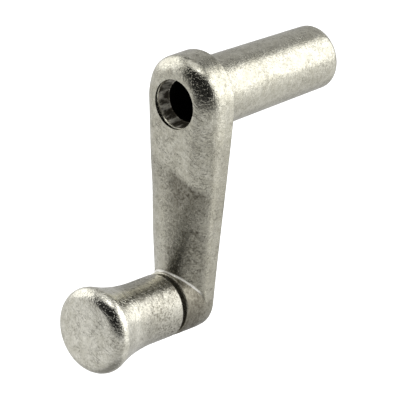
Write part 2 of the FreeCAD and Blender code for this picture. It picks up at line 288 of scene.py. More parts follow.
print("ridge halfway down the arm:", round(float(front_depth(np.array(0.0), np.array(-THROW / 2))), 2))

# %% [markdown]
# The boss is the raised disc that the knob turns on. It has a small rounded edge and a small fillet, both
# too fine for the grid. So the points near its wall are moved along a little profile instead, and the ones
# over it go up to its face.

# %% The boss
BOSS_FACE, BOSS_RADIUS, BOSS_EDGE, BOSS_FILLET, BOSS_BAND = 50.5, FOOT_RADIUS, 0.35, 0.45, 0.9
# Shares of the band where the face, the rounded edge, the wall, the fillet and the arm start, and its end.
BAND_STOPS = (0.0, 0.22, 0.44, 0.72, 0.9, 1.0)
LEAST_WALL, FILLET_SHARE, NO_WIDTH = 0.02, 0.8, 1e-6


def raise_boss(x, z, edge_reach):
    """Points nearer the knob's axis than a band's outer edge go on the boss. Inside the band they follow,
    in turn, the face, a rounded edge, the wall, a fillet and the arm. edge_reach is the outline's."""
    across, up = x, z + THROW
    reach = np.hypot(across, up)
    turn = np.arctan2(up, across)
    first = BOSS_RADIUS - BOSS_BAND
    last = np.minimum(BOSS_RADIUS + BOSS_BAND, edge_reach)
    fillet = BOSS_FILLET * np.clip(last - BOSS_RADIUS, 0, BOSS_BAND) / BOSS_BAND
    share = np.clip((reach - first) / np.maximum(last - first, NO_WIDTH), 0, 1)
    foot_x = (BOSS_RADIUS + fillet) * np.cos(turn)
    foot_z = (BOSS_RADIUS + fillet) * np.sin(turn) - THROW
    wall_top = BOSS_FACE - BOSS_EDGE
    arm_depth = np.minimum(front_depth(foot_x, foot_z), wall_top - LEAST_WALL)
    fillet = np.minimum(fillet, (wall_top - arm_depth) * FILLET_SHARE)
    face_share, edge_share, wall_share, fillet_share, arm_share = (
        np.clip((share - start) / (stop - start), 0, 1) for start, stop in zip(BAND_STOPS, BAND_STOPS[1:]))

    edge_turn, fillet_turn = edge_share * QUARTER, fillet_share * QUARTER
    radius = first + (BOSS_RADIUS - BOSS_EDGE - first) * face_share + BOSS_EDGE * np.sin(edge_turn)
    radius = radius + fillet * (1 - np.cos(fillet_turn))
    depth = BOSS_FACE - BOSS_EDGE * (1 - np.cos(edge_turn))
    depth = depth - (wall_top - arm_depth - fillet) * wall_share - fillet * np.sin(fillet_turn)
    on_arm = share > BAND_STOPS[4]
    radius = np.where(on_arm, radius + (last - radius) * arm_share, radius)
    radius = np.where((reach < first) | (reach > last), reach, radius)
    x, z = radius * np.cos(turn), radius * np.sin(turn) - THROW
    arm = front_depth(x, z)
    depth = np.where(reach > last, arm, np.where(reach < first, BOSS_FACE, depth))
    depth = np.where(on_arm & (reach <= last), arm + (depth - arm) * (1 - arm_share), depth)
    return x, z, depth


# %% The front's grid
FRONT_ROWS = 66
inner, outer = (whole(half) for half in right_half(RIM_RADIUS, BORE_RADIUS))
share = np.sin(np.linspace(0, QUARTER, FRONT_ROWS))[:, None, None]
ribs = inner + (outer - inner) * share
outer_reach = np.hypot(outer[:, 0], outer[:, 1] + THROW)
x, z, depth = raise_boss(ribs[..., 0], ribs[..., 1], outer_reach)
front_grid = np.stack([x, -depth, z], axis=2)
edge_depth = depth[-1]
print("front grid:", front_grid.shape, "edge at", np.round([edge_depth.min(), edge_depth.max()], 2))

# %% [markdown]
# The sides go straight back from the outline, with a little draft at the foot, as a die needs. They end in
# a round that is almost sharp at the hub and soft at the foot. The rows move in from the outline along its
# normals, so the side follows it exactly, and the back is then filled in from that last row to the barrel's
# root.

# %% The sides
BACK, BACK_LEAN = 38.95, 2.3
BACK_ROUND, FOOT_SOFTER, SOFTER_SPAN = 0.45, 0.6, (4, 40)
DRAFT, DRAFT_SPAN, INSIDE_THE_ARM = 0.12, (20, 44), (0, -20)
SIDE_ROWS, ROUND_ROWS = 9, 9


def back_depth(z):
    """The back face leans forward towards the foot: its depth is a straight line in the height."""
    return BACK + BACK_LEAN * -z / THROW


outward = np.stack([np.gradient(outer[:, 1]), -np.gradient(outer[:, 0])], axis=1)
outward[0], outward[len(outer) // 2] = (0, 1), (0, -1)
outward = outward / np.linalg.norm(outward, axis=1)[:, None]
outward *= np.sign((outward * (outer - INSIDE_THE_ARM)).sum(axis=1))[:, None]
size = BACK_ROUND + FOOT_SOFTER * smooth_step(*SOFTER_SPAN, -outer[:, 1])
draft = DRAFT * smooth_step(*DRAFT_SPAN, -outer[:, 1])
wall_end = back_depth(outer[:, 1]) + size
down = np.linspace(0, 1, SIDE_ROWS)[1:, None]
curl = np.linspace(0, QUARTER, ROUND_ROWS)[1:, None]
inset = np.concatenate([0 * draft[None], draft * down, draft + size * (1 - np.cos(curl))])
side_depths = np.concatenate([edge_depth[None], edge_depth + (wall_end - edge_depth) * down,
                              wall_end - size * np.sin(curl)])
moved = outer - outward * inset[..., None]
side_grid = np.stack([moved[..., 0], -side_depths, moved[..., 1]], axis=2)
print("side grid:", side_grid.shape)

# %% The back
BACK_ROWS, ROOT_FILLET = 16, 0.5
back_inner = whole(right_half(ROOT_RADIUS + ROOT_FILLET, SPOT_RADIUS)[0])
share = np.linspace(0, 1, BACK_ROWS)[:, None, None]
ribs = moved[-1] + (back_inner - moved[-1]) * share
depth = back_depth(ribs[..., 1])
depth[0] = side_depths[-1]
back_grid = np.stack([ribs[..., 0], -depth, ribs[..., 1]], axis=2)
print("back grid:", back_grid.shape)

# %% [markdown]
# The hub's hole has a tapered wall, then a lip, then a long dark way down to the sleeve. Each hole is a
# lathe profile whose columns sit at the same angles as the front's, so that their edges meet point for
# point and merge into one closed skin. The barrel is one too, but its root follows the leaning back, so it
# is worked out ring by ring.

# %% The hub's hole and the barrel's mouth
RECESS_DEPTH, LIP_RADIUS, SEAT_DEPTH, SEAT_RADIUS = 3.7, 4.9, 20.0, 5.6
TAPER_END, LIP_BREAK = 5.08, 5.02
MOUTH_RADIUS, MOUTH_ROUND, SPOT_FLOOR = 7.4, 1.9, 43.2
hub_ring, foot_ring = ring(hub_angles), ring(foot_angles)
LIP = FRONT - RECESS_DEPTH
rim = front_grid[0, :len(hub_angles)]
rim_depth = -np.concatenate([rim[:, 1], rim[-2:0:-1, 1]])


def hang(grid, row, depths):
    """Give one row of a grid the depths of the edge that it joins."""
    grid[row, :, 1] = -depths
    return grid


hole = turn_profile(np.concatenate([
    line((FRONT, RIM_RADIUS), (FRONT - 0.6, RIM_RADIUS - 0.03), 4),
    line((FRONT - 0.72, RIM_RADIUS - 0.16), (LIP + 0.1, TAPER_END), 8),
    line((LIP + 0.02, LIP_BREAK), (LIP, LIP_RADIUS + 0.05), 3),
    line((LIP - 0.08, LIP_RADIUS), (SEAT_DEPTH, LIP_RADIUS), 20),
    line((SEAT_DEPTH, SEAT_RADIUS), (0.15, SEAT_RADIUS), 20),
    line((0, SEAT_RADIUS + 0.15), (0, MOUTH_RADIUS - MOUTH_ROUND), 2),
    arc(MOUTH_ROUND, MOUTH_RADIUS - MOUTH_ROUND, MOUTH_ROUND, 180, 90, 14)[1:]]), hub_ring)
hang(hole, 0, rim_depth)
print("hole's grid:", hole.shape)

# %% The barrel
BARREL_ROWS, FILLET_ROWS = 44, 7
root = back_depth(ROOT_RADIUS * np.sin(hub_ring)) - ROOT_FILLET
rise = np.linspace(0, 1, BARREL_ROWS)[:, None]
radius = MOUTH_RADIUS + (ROOT_RADIUS - MOUTH_RADIUS) * rise
depth = MOUTH_ROUND + (root - MOUTH_ROUND) * rise
curl = np.linspace(0, QUARTER, FILLET_ROWS)[1:, None]
radius = np.concatenate([radius, ROOT_RADIUS + ROOT_FILLET * (1 - np.cos(curl)) + 0 * hub_ring[:1]])
ring_depth = back_depth((ROOT_RADIUS + ROOT_FILLET) * np.sin(hub_ring))
depth = np.concatenate([depth, root + (ring_depth - root) * np.sin(curl)])
barrel = np.stack([radius * np.cos(hub_ring), -depth, radius * np.sin(hub_ring)], axis=2)
print("barrel's grid:", barrel.shape)

# %% The stem's hole, and the casting
stem_way = turn_profile(np.concatenate([
    line((BOSS_FACE, BORE_RADIUS), (SPOT_FLOOR, BORE_RADIUS), 12),
    line((SPOT_FLOOR, BORE_RADIUS + 0.5), (SPOT_FLOOR, SPOT_RADIUS), 4),
    line((SPOT_FLOOR - 0.4, SPOT_RADIUS), (40, SPOT_RADIUS), 4)]), foot_ring, -THROW)
hang(stem_way, -1, back_depth(stem_way[-1, :, 2]))
casting = make_piece("casting", [front_grid, side_grid, back_grid, hole, barrel, stem_way])
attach(casting, "handle")
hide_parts("crank_arm")

# %% [markdown]
# The knob is turned: a straight neck, a hollow flare, a round rim and a very shallow dome, each meeting the
# next without a corner. Its arcs are worked out from their tangency, as a draughtsman would, so the
# highlights flow.

# %% The knob's tangents
KNOB_COLUMNS = 140
KNOB_BASE, NECK_RADIUS, NECK_LENGTH, BASE_ROUND = 51.7, 7.35, 6.6, 0.5
FLARE_RADIUS, KNOB_RADIUS, RIM_ROUND, DOME_RADIUS = 38.0, 10.0, 2.7, 62.0
STEM_RADIUS, STEM_GRIP = 2.4, 12.0
rim_height = KNOB_RADIUS - RIM_ROUND
flare_height = NECK_RADIUS + FLARE_RADIUS
rim_along = NECK_LENGTH + math.sqrt((FLARE_RADIUS + RIM_ROUND) ** 2 - (flare_height - rim_height) ** 2)
dome_along = rim_along - math.sqrt((DOME_RADIUS - RIM_ROUND) ** 2 - rim_height ** 2)
flare_turn = math.degrees(math.atan2(rim_height - flare_height, rim_along - NECK_LENGTH))
dome_turn = math.degrees(math.atan2(rim_height, rim_along - dome_along))
round_the_knob = np.linspace(0, 2 * math.pi, KNOB_COLUMNS, endpoint=False)
socket_end = KNOB_BASE + STEM_GRIP
print("knob's front in mm:", round(KNOB_BASE + dome_along + DOME_RADIUS, 2))

# %% The knob
knob_profile = np.concatenate([
    line((socket_end, 0), (socket_end, STEM_RADIUS), 3),
    line((socket_end - 1, STEM_RADIUS), (KNOB_BASE, STEM_RADIUS), 6),
    line((KNOB_BASE, STEM_RADIUS + 0.4), (KNOB_BASE, NECK_RADIUS - BASE_ROUND - 0.2), 8),
    arc(KNOB_BASE + BASE_ROUND, NECK_RADIUS - BASE_ROUND, BASE_ROUND, 180, 90, 9),
    line((KNOB_BASE + 1, NECK_RADIUS), (KNOB_BASE + NECK_LENGTH - 0.5, NECK_RADIUS), 12),
    arc(KNOB_BASE + NECK_LENGTH, flare_height, FLARE_RADIUS, -90, flare_turn, 26),
    arc(KNOB_BASE + rim_along, rim_height, RIM_ROUND, flare_turn + 180, dome_turn, 36)[1:],
    arc(KNOB_BASE + dome_along, 0, DOME_RADIUS, dome_turn, 0, 34)[1:]])
knob_piece = make_piece("turned_knob", [turn_profile(knob_profile, round_the_knob, -THROW)])
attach(knob_piece, "knob")
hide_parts("knob")

# %% [markdown]
# Behind and under the knob are small steel parts. The stem has a peened head, hammered over the rear
# washer, so its face is a low dome with a dimple. The washers are stamped, so one edge is rounder than the
# other.

# %% Stem
STEM_HEAD, HEAD_RADIUS, HEAD_HEIGHT = 41.15, 3.7, 1.2
stem_profile = np.concatenate([
    line((STEM_HEAD + 0.35, 0), (STEM_HEAD + 0.28, 0.7), 5),
    line((STEM_HEAD + 0.06, 1.15), (STEM_HEAD + 0.02, 1.7), 4),
    line((STEM_HEAD + 0.06, 2.3), (STEM_HEAD + 0.16, 2.9), 4),
    arc(STEM_HEAD + 0.72, HEAD_RADIUS - 0.52, 0.52, 170, 60, 9),
    line((STEM_HEAD + HEAD_HEIGHT, HEAD_RADIUS - 0.16), (STEM_HEAD + HEAD_HEIGHT, STEM_RADIUS), 4),
    line((STEM_HEAD + HEAD_HEIGHT + 0.4, STEM_RADIUS), (socket_end - 0.3, STEM_RADIUS), 26),
    line((socket_end, STEM_RADIUS - 0.3), (socket_end, 0), 3)])
FINE_COLUMNS = 96
fine_turn = np.linspace(0, 2 * math.pi, FINE_COLUMNS, endpoint=False)
stem_piece = make_piece("peened_stem", [turn_profile(stem_profile, fine_turn, -THROW)])
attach(stem_piece, "knob")
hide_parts("knob_stem")

# %% Washers
WASHER_HOLE = 2.55
THRUST_FRONT, THRUST_RADIUS, REAR_BACK, REAR_RADIUS = 51.65, 5.7, 42.4, 4.3


def make_washer(name, node, back, front, hole, radius):
    """A stamped ring: its back edge is rounder than its front edge, and its hole's edges are broken."""
    roll, burr, broken = 0.25, 0.08, 0.12
    ring_profile = np.concatenate([
        line((back + broken, hole), (front - broken, hole), 5),
        line((front, hole + broken), (front, radius - burr), 8),
        line((front - burr, radius), (back + roll, radius), 6),
        arc(back + roll, radius - roll, roll, 90, 180, 8)[1:],
        line((back, radius - roll - 0.3), (back, hole + broken), 8)])
    ring_profile = np.concatenate([ring_profile, ring_profile[:1]])
    piece = make_piece(name, [turn_profile(ring_profile, fine_turn, -THROW)])
    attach(piece, "handle")
    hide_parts(node)
    return piece


thrust_piece = make_washer("groove_washer", "thrust_washer", BOSS_FACE, THRUST_FRONT, WASHER_HOLE,
                           THRUST_RADIUS)
rear_piece = make_washer("back_washer", "rear_washer", REAR_BACK, SPOT_FLOOR, WASHER_HOLE, REAR_RADIUS)

# %% [markdown]
# The sleeve in the barrel is steel, because zinc teeth would strip. It has a plain pilot at the mouth, then
# 24 serrations, and a web with the screw's hole. The serrations are the same lathe profile with its radius
# waved round the axis, fading in over half a millimetre where the broach ran out.

# %% Drive sleeve
PILOT_RADIUS, PILOT_DEPTH, CREST, TOOTH_ROOT, TEETH = 4.15, 4.0, 3.65, 4.05, 24
WEB, SCREW_HOLE = 17.0, 2.4
STEPS_PER_TOOTH, TOOTH_FLAT, TOOTH_SLOPE, TOOTH_FADE = 16, 0.12, 0.76, 0.5
SLEEVE_FIT, SHARP_TEETH = 0.01, 25
tooth_turn = np.linspace(0, 2 * math.pi, TEETH * STEPS_PER_TOOTH, endpoint=False)
outside_radius = SEAT_RADIUS - SLEEVE_FIT
sleeve_profile = np.concatenate([
    line((SEAT_DEPTH, SCREW_HOLE + 0.15), (SEAT_DEPTH, outside_radius - 0.2), 4),
    line((SEAT_DEPTH - 0.2, outside_radius), (0.3, outside_radius), 10),
    line((0.12, outside_radius - 0.22), (0.12, PILOT_RADIUS + 0.35), 5),
    line((0.45, PILOT_RADIUS), (PILOT_DEPTH - 0.02, PILOT_RADIUS), 8),
    line((PILOT_DEPTH, CREST + 0.1), (WEB, CREST + 0.1), 24),
    line((WEB + 0.02, CREST - 0.1), (WEB + 0.02, SCREW_HOLE + 0.1), 5),
    line((WEB + 0.15, SCREW_HOLE), (SEAT_DEPTH - 0.15, SCREW_HOLE), 6)])
sleeve_profile = np.concatenate([sleeve_profile, sleeve_profile[:1]])
sleeve_grid = turn_profile(sleeve_profile, tooth_turn)
print("sleeve's grid:", sleeve_grid.shape)

# %% The sleeve's teeth
along, radius = sleeve_profile.T
toothed = ((along >= PILOT_DEPTH) & (along <= WEB) & (radius < PILOT_RADIUS))[:, None]
wave = np.abs(((tooth_turn * TEETH / (2 * math.pi)) % 1) * 2 - 1)
flat_tooth = CREST + (TOOTH_ROOT - CREST) * np.clip((wave - TOOTH_FLAT) / TOOTH_SLOPE, 0, 1)
fade = smooth_step(PILOT_DEPTH - 0.01, PILOT_DEPTH + TOOTH_FADE, along)[:, None]
waved = np.where(toothed, TOOTH_ROOT + (flat_tooth - TOOTH_ROOT) * fade, radius[:, None])
sleeve_grid[..., 0] = waved * np.cos(tooth_turn)
sleeve_grid[..., 2] = waved * np.sin(tooth_turn)
sleeve_piece = make_piece("serrated_sleeve", [sleeve_grid], SHARP_TEETH)
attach(sleeve_piece, "handle")
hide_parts("drive_sleeve")

# %% [markdown]
# Shader maths soon turns into a tangle of wires. So one small class wraps a socket, and an ordinary sum or
# product of two values adds the Math node that works it out. Every node of any other kind is made by one
# function.

# %% Shading arithmetic


class Value:
    """A socket of a node tree. Sums, differences, products and powers of values add their Math nodes."""

    def __init__(self, tree, socket):
        self.tree, self.socket = tree, socket

    def _math(self, operation, *terms):
        return node(self.tree, "ShaderNodeMath", {"operation": operation}, dict(enumerate(terms)))

    def __add__(self, other):
        return self._math("ADD", self, other)

    def __sub__(self, other):
        return self._math("SUBTRACT", self, other)

    def __rsub__(self, other):
        return self._math("SUBTRACT", other, self)

    def __mul__(self, other):
        return self._math("MULTIPLY", self, other)

    def __pow__(self, other):
        return self._math("POWER", self, other)

    def below(self, other):
        return self._math("LESS_THAN", self, other)

    def above(self, other):
        return self._math("GREATER_THAN", self, other)

    def most(self, other):
        return self._math("MAXIMUM", self, other)

    __radd__ = __add__
    __rmul__ = __mul__


# %% Nodes


def node(tree, kind, settings, inputs, output=0):
    """Add a node: its settings first, then a number, a colour or a Value on each named or numbered socket.
    It returns the output with a name or number, or with None the node itself."""
    made = tree.nodes.new(kind)
    for name, setting in settings.items():
        setattr(made, name, setting)
    for name, value in inputs.items():
        if isinstance(value, Value):
            tree.links.new(value.socket, made.inputs[name])
        else:
            made.inputs[name].default_value = value
    return made if output is None else Value(tree, made.outputs[output])


def ease(value, low, high):
    """0 where a value is below low, 1 above high, and smooth between."""
    return node(value.tree, "ShaderNodeMapRange", {"interpolation_type": "SMOOTHSTEP"},
                {"Value": value, "From Min": low, "From Max": high})


# %% [markdown]
# Metal shows its surroundings and nothing else, so the studio is what the reflections need: a big soft box
# on each side, a dark side where the camera stands, and a table that is pale at the sides and darker in
# front. Real area lamps light what isn't polished. They are left out of reflections, where the dome below
# takes their place.

# %% Lamps
LAMP_DISTANCE = 0.6
centre = (cad_low + cad_high) / 2


def soft_box(name, azimuth, elevation, width, height, radiance):
    """An area lamp that faces the handle; its power is its radiance times pi times its area."""
    data = bpy.data.lights.new(name, "AREA")
    data.shape = "RECTANGLE"
    data.size, data.size_y = width, height
    data.energy = radiance * math.pi * width * height
    lamp = bpy.data.objects.new(name, data)
    bpy.context.scene.collection.objects.link(lamp)
    to_lamp = direction(azimuth, elevation)
    lamp.matrix_world = Matrix.Translation(centre + to_lamp * LAMP_DISTANCE) @ look_from(to_lamp).to_4x4()
    lamp.visible_camera = False
    lamp.visible_glossy = False
    print(f"{name}: {data.energy:.2f} W")


soft_box("right_box", 138, 30, 0.70, 0.50, 2.6)
soft_box("left_box", -72, 28, 0.72, 0.44, 1.8)
soft_box("top_box", 45, 89, 0.5, 0.5, 1.3)

# %% [markdown]
# The dome is one sphere round the handle that only reflections see. Separate glowing cards would do too,
# but their crisp edges make a patchwork on a flat arm. Here each soft box or stretch of table is a patch of
# directions with soft edges, laid over the ones before it, so the arm's reflections run into each other as
# they do on real metal.

# %% The dome's patches
DOME_RADIUS_M, DOME_COLUMNS, DOME_ROWS = 0.5, 97, 49
HORIZON_GLOW = 0.5
ALL_ROUND = (-200, 200)
STUDIO = [
    # what it is, azimuths, elevations, radiance and softness, all angles in degrees
    ("table", ALL_ROUND, (-100, -2), 0.55, 3),
    ("table_behind", (86, 200), (-100, 4), 0.76, 4),
    ("table_left", (-56, -34), (-44, 4), 0.80, 6),
    ("table_far_left", (-120, -56), (-40, 4), 0.68, 4),
    ("table_front", (-34, 90), (-36, -14), 0.70, 6),
    ("table_edge_in_front", (-34, 90), (-14, -2), 0.30, 5),
    ("under_the_handle", ALL_ROUND, (-100, -60), 0.28, 6),
    ("gap_over_the_boxes", ALL_ROUND, (47, 60), 0.02, 3),
    ("ceiling", ALL_ROUND, (61, 100), 0.85, 3),
    ("left_box", (-112, -40), (6, 52), 1.6, 2),
    ("right_box", (92, 172), (0, 50), 1.95, 3),
    ("right_box_on_the_table", (98, 136), (-25, 4), 1.4, 3),
    ("top_box", (0, 110), (70, 82), 2.4, 2),
    ("beside_the_camera", (76, 92), (-4, 54), 0.25, 3),
    ("camera_side", (-30, 78), (-8, 60), 0.015, 3)]

dome_material = bpy.data.materials.new("studio_dome")
dome_material.use_nodes = True
dome_tree = dome_material.node_tree
dome_tree.nodes.clear()
to_point = node(dome_tree, "ShaderNodeTexCoord", {}, {}, "Object")
parts = node(dome_tree, "ShaderNodeSeparateXYZ", {}, {"Vector": to_point}, None)
to_right, to_back, to_top = (Value(dome_tree, socket) for socket in parts.outputs)
degrees = 180 / math.pi
azimuth = node(dome_tree, "ShaderNodeMath", {"operation": "ARCTAN2"}, {0: to_right, 1: to_back * -1})
elevation = node(dome_tree, "ShaderNodeMath", {"operation": "ARCSINE"}, {0: to_top * (1 / DOME_RADIUS_M)})
azimuth, elevation = azimuth * degrees, elevation * degrees
glow = HORIZON_GLOW
for _, azimuths, elevations, radiance, soft in STUDIO:
    inside = 1.0
    for angle, (start, stop) in ((azimuth, azimuths), (elevation, elevations)):
        inside = ease(angle, start - soft, start + soft) * ease(angle, stop + soft, stop - soft) * inside
    glow = glow + (radiance - glow) * inside
glowing = node(dome_tree, "ShaderNodeEmission", {}, {"Color": glow, "Strength": 1.0})
node(dome_tree, "ShaderNodeOutputMaterial", {"target": "ALL"}, {"Surface": glowing}, None)
print("patches on the dome:", len(STUDIO))

# %% The dome's shell
turn = np.radians(np.linspace(-180, 180, DOME_COLUMNS))[None, :]
climb = np.radians(np.linspace(-90, 90, DOME_ROWS))[:, None]
shell = np.stack([np.sin(turn) * np.cos(climb), -np.cos(turn) * np.cos(climb), np.sin(climb) + 0 * turn],
                 axis=2)
dome_mesh = bpy.data.meshes.new("studio_dome")
dome_mesh.from_pydata(shell.reshape(-1, 3) * DOME_RADIUS_M, [], grid_faces(DOME_ROWS, DOME_COLUMNS, False))
dome_mesh.materials.append(dome_material)
dome = bpy.data.objects.new("studio_dome", dome_mesh)
dome.location = centre
bpy.context.scene.collection.objects.link(dome)
dome.visible_camera = dome.visible_diffuse = dome.visible_shadow = dome.visible_transmission = False
print("dome faces:", len(dome_mesh.polygons))

# %% [markdown]
# The floor is plain white paper a little below the handle. It glows faintly, so that it comes out an even
# pale tone under these lamps, and it is left out of reflections, since the dome already holds a table.

# %% World and floor
WORLD_GLOW = 0.5
FLOOR_SIZE, FLOOR_DROP = 8, 0.05
world = bpy.data.worlds.new("studio")
world.use_nodes = True
background = world.node_tree.nodes["Background"]
background.inputs["Color"].default_value = (1, 1, 1, 1)
background.inputs["Strength"].default_value = WORLD_GLOW
bpy.context.scene.world = world

level, half = cad_low.z - FLOOR_DROP, FLOOR_SIZE / 2
floor_mesh = bpy.data.meshes.new("floor")
corners = [(x * half, y * half, level) for x, y in ((-1, -1), (1, -1), (1, 1), (-1, 1))]
floor_mesh.from_pydata(corners, [], [(0, 1, 2, 3)])
floor = bpy.data.objects.new("floor", floor_mesh)
bpy.context.scene.collection.objects.link(floor)
paper = bpy.data.materials.new("paper")
paper.use_nodes = True
paper_shader = paper.node_tree.nodes["Principled BSDF"]
for name, value in {"Base Color": (0.8, 0.8, 0.8, 1), "Roughness": 0.9, "Specular IOR Level": 0.1,
                    "Emission Color": (1, 1, 1, 1), "Emission Strength": 0.45}.items():
    paper_shader.inputs[name].default_value = value
floor_mesh.materials.append(paper)
floor.visible_glossy = False
print("floor at z in mm:", round(level / MM, 1))

# %% [markdown]
# Every finish here is built from a few patterns on Object coordinates, which are metres in the handle's own
# frame, so a pattern's grain can be given in millimetres and doesn't slide when a piece moves.

# %% Finish helpers


def start_finish(name, settings):
    """A material with a Principled shader: its even values are set on the shader's own sockets."""
    material = bpy.data.materials.new(name)
    material.use_nodes = True
    tree = material.node_tree
    shader = tree.nodes["Principled BSDF"]
    for socket, value in settings.items():
        shader.inputs[socket].default_value = value
    place = node(tree, "ShaderNodeTexCoord", {}, {}, "Object")
    return material, tree, place


def feed(tree, **values):
    """Link values to the sockets of the Principled shader that vary over the surface."""
    shader = tree.nodes["Principled BSDF"]
    for name, value in values.items():
        tree.links.new(value.socket, shader.inputs[name.replace("_", " ")])


# %% Patterns for the finishes
SCRATCH_SPAN, CYCLES_PER_SPECK = (0.62, 0.74), 0.5


def grain(place, size_mm, detail=2.0, roughness=0.5, distortion=0.0):
    """Noise from 0 to 1 whose specks are about as big as a size in millimetres."""
    return node(place.tree, "ShaderNodeTexNoise", {"noise_dimensions": "3D"},
                {"Vector": place, "Scale": CYCLES_PER_SPECK / (size_mm * MM), "Detail": detail,
                 "Roughness": roughness, "Distortion": distortion})


def blend_colours(factor, low, high):
    """A colour between two colours, each a colour or a Value."""
    def full(colour):
        return colour if isinstance(colour, Value) else (*colour, 1)
    ends = {0: factor, 6: full(low), 7: full(high)}
    return node(factor.tree, "ShaderNodeMix", {"data_type": "RGBA"}, ends, 2)


def scratches(place, turn, length_mm, width_mm):
    """Noise drawn out into thin marks: the place is turned, then squeezed along one axis, so its specks
    come out much longer one way than the other."""
    turned = node(place.tree, "ShaderNodeMapping", {"vector_type": "TEXTURE"},
                  {"Vector": place, "Rotation": turn, "Scale": (length_mm / width_mm, 1, 1)})
    return ease(grain(turned, width_mm, 1, 0.4), *SCRATCH_SPAN)


def dent(height, depth_mm, below=None):
    """A Bump node whose full height is a depth in millimetres; below is the bump that it lies on."""
    inputs = {"Height": height, "Distance": depth_mm * MM, "Strength": 1.0}
    if below is not None:
        inputs["Normal"] = below
    return node(height.tree, "ShaderNodeBump", {}, inputs)


def place_on_handle(place):
    """In mm: how far to the right, the depth from the mouth, the height, and the distances from the drive
    axis and from the knob's axis."""
    parts = node(place.tree, "ShaderNodeSeparateXYZ", {}, {"Vector": place}, None)
    x, y, z = (Value(place.tree, socket) * (1 / MM) for socket in parts.outputs)
    over_knob = z + THROW
    return x, y * -1, z, (x * x + z * z) ** 0.5, (x * x + over_knob * over_knob) ** 0.5


# %% [markdown]
# The plating is antique nickel: warm grey, tumbled with stones until it is softly dented all over, so that
# a reflection's edge breaks into specks. The dents are bump from noises of two sizes, with fine scratches.
# Darker flecks stay where the stones didn't reach, and they are a little rougher than the plate round them.

# %% Nickel, tarnish, painted shade and a painted highlight
NICKEL, NICKEL_LIGHT, KNOB_NICKEL = (0.57, 0.55, 0.455), (0.72, 0.70, 0.60), (0.90, 0.88, 0.78)
TARNISH_AND_SHADE, PAINTED_HIGHLIGHT = (0.17, 0.155, 0.12), (0.92, 0.90, 0.83)
MIDDLE_DENT, FINE_DENT = 0.05, 0.055
NECK, NECK_DULL = (68, 63), 0.36
# Masks in mm. Each span runs from where a mask is 0 to where it is 1.
PLATE, BOSS_INSIDE, BELOW_BOSS_FACE = (40, 44), (7.46, 7.38), (50.45, 50.2)
# The CREST spans place a painted highlight line round the foot of the boss's wall.
CREST_START, CREST_END, CREST_FRONT = (7.38, 7.46), (7.95, 7.75), (45.2, 46.4)
# The lower arm's front is darkened below a slanting line: painted shade, a painted reflection of a shadow.
SHADE_SLANT, SHADE_EDGE_HEIGHT, ARM_FRONT = 0.457, (-14.4, -17.0), (44.4, 46.6)
RIGHT_HALF, RIGHT_SHARE, UPPER_ARM, UPPER_SHARE = (-3, 1), 0.75, (-29, -17), 0.4
# The arm's sides below the hub are darkened as painted shade.
FLANK_HEIGHT, FLANK_DEPTH = (-6, -10), (46.2, 44.6)
# How dark the painted shade is on the boss's wall, the lower arm and the arm's sides.
BOSS_SHADE, ARM_SHADE, FLANK_SHADE = 0.36, 0.55, 0.27


def casting_shade_and_highlight(side, depth, height, from_knob):
    """How much painted shade darkens the boss's wall, the lower arm and the arm's sides, how much the lower
    arm alone, and the painted highlight line at the foot of the boss's wall. The lower arm's painted shade
    starts below a slanting line."""
    # The boss's wall, in the crevice under the knob, is darkened as painted shade.
    boss = ease(from_knob, *BOSS_INSIDE) * ease(depth, *BELOW_BOSS_FACE) * ease(depth, *PLATE)
    # A painted highlight line round the foot of the boss's wall.
    crest = ease(from_knob, *CREST_START) * ease(from_knob, *CREST_END) * ease(depth, *CREST_FRONT)
    # Painted shade on the lower arm's front, below a slanting line.
    arm = ease(height + side * SHADE_SLANT, *SHADE_EDGE_HEIGHT) * ease(depth, *ARM_FRONT)
    arm = arm * (ease(side, *RIGHT_HALF) * RIGHT_SHARE + ease(height, *UPPER_ARM) * UPPER_SHARE)
    # Painted shade on the arm's sides below the hub.
    flank = ease(height, *FLANK_HEIGHT) * ease(depth, *FLANK_DEPTH)
    return boss * BOSS_SHADE + arm * ARM_SHADE + flank * FLANK_SHADE, arm, crest


# %% [markdown]
# In the hub's hole the plating is thin. The core behind the lip is near black, and the tapered
# wall in front of it is dull and smeared, so it is made partly a painted surface and only partly a metal
# one.

# %% The hub's hole
NEAR_BLACK, WALL_STAIN, DULL_WALL = (0.012, 0.012, 0.011), (0.07, 0.062, 0.045), (0.78, 0.75, 0.66)
WALL_ROUGHNESS, CORE_ROUGHNESS, CREST_ROUGHNESS = 0.3, 0.8, 0.4
WALL_NOT_METAL, CREST_NOT_METAL = 0.5, 0.6


def casting_marks(place, colour, rough, crest, depth, from_drive):
    """The colour and roughness with the painted highlight line, the hole's wall and its core laid over
    them, and how metallic that is."""
    # The line at the boss's foot is made lighter and less metallic: a painted highlight.
    colour = blend_colours(crest, colour, PAINTED_HIGHLIGHT)
    rough = rough * (1 - crest) + crest * CREST_ROUGHNESS
    inside = from_drive.below(RIM_RADIUS + 0.02) * depth.above(SEAT_DEPTH)
    core = inside * depth.below(LIP - 0.05)
    wall = inside * depth.above(LIP - 0.03) * depth.below(FRONT - 1.0)
    smears = node(place.tree, "ShaderNodeMapping", {"vector_type": "TEXTURE"},
                  {"Vector": place, "Scale": (1, 3, 1)})
    smears = ease(grain(smears, 1.7, 5, 0.7), 0.42, 0.58)
    colour = blend_colours(wall, colour, blend_colours(smears, WALL_STAIN, DULL_WALL))
    colour = blend_colours(core, colour, NEAR_BLACK)
    rough = rough * (1 - wall) + wall * WALL_ROUGHNESS
    rough = rough * (1 - core) + core * CORE_ROUGHNESS
    return colour, rough, 1 - wall * WALL_NOT_METAL - crest * CREST_NOT_METAL


# %% [markdown]
# The casting and the knob have the same plating, so one function makes both. The knob's is lighter, and
# duller on the neck. The casting's has the painted shade, the painted highlight and the marks above.

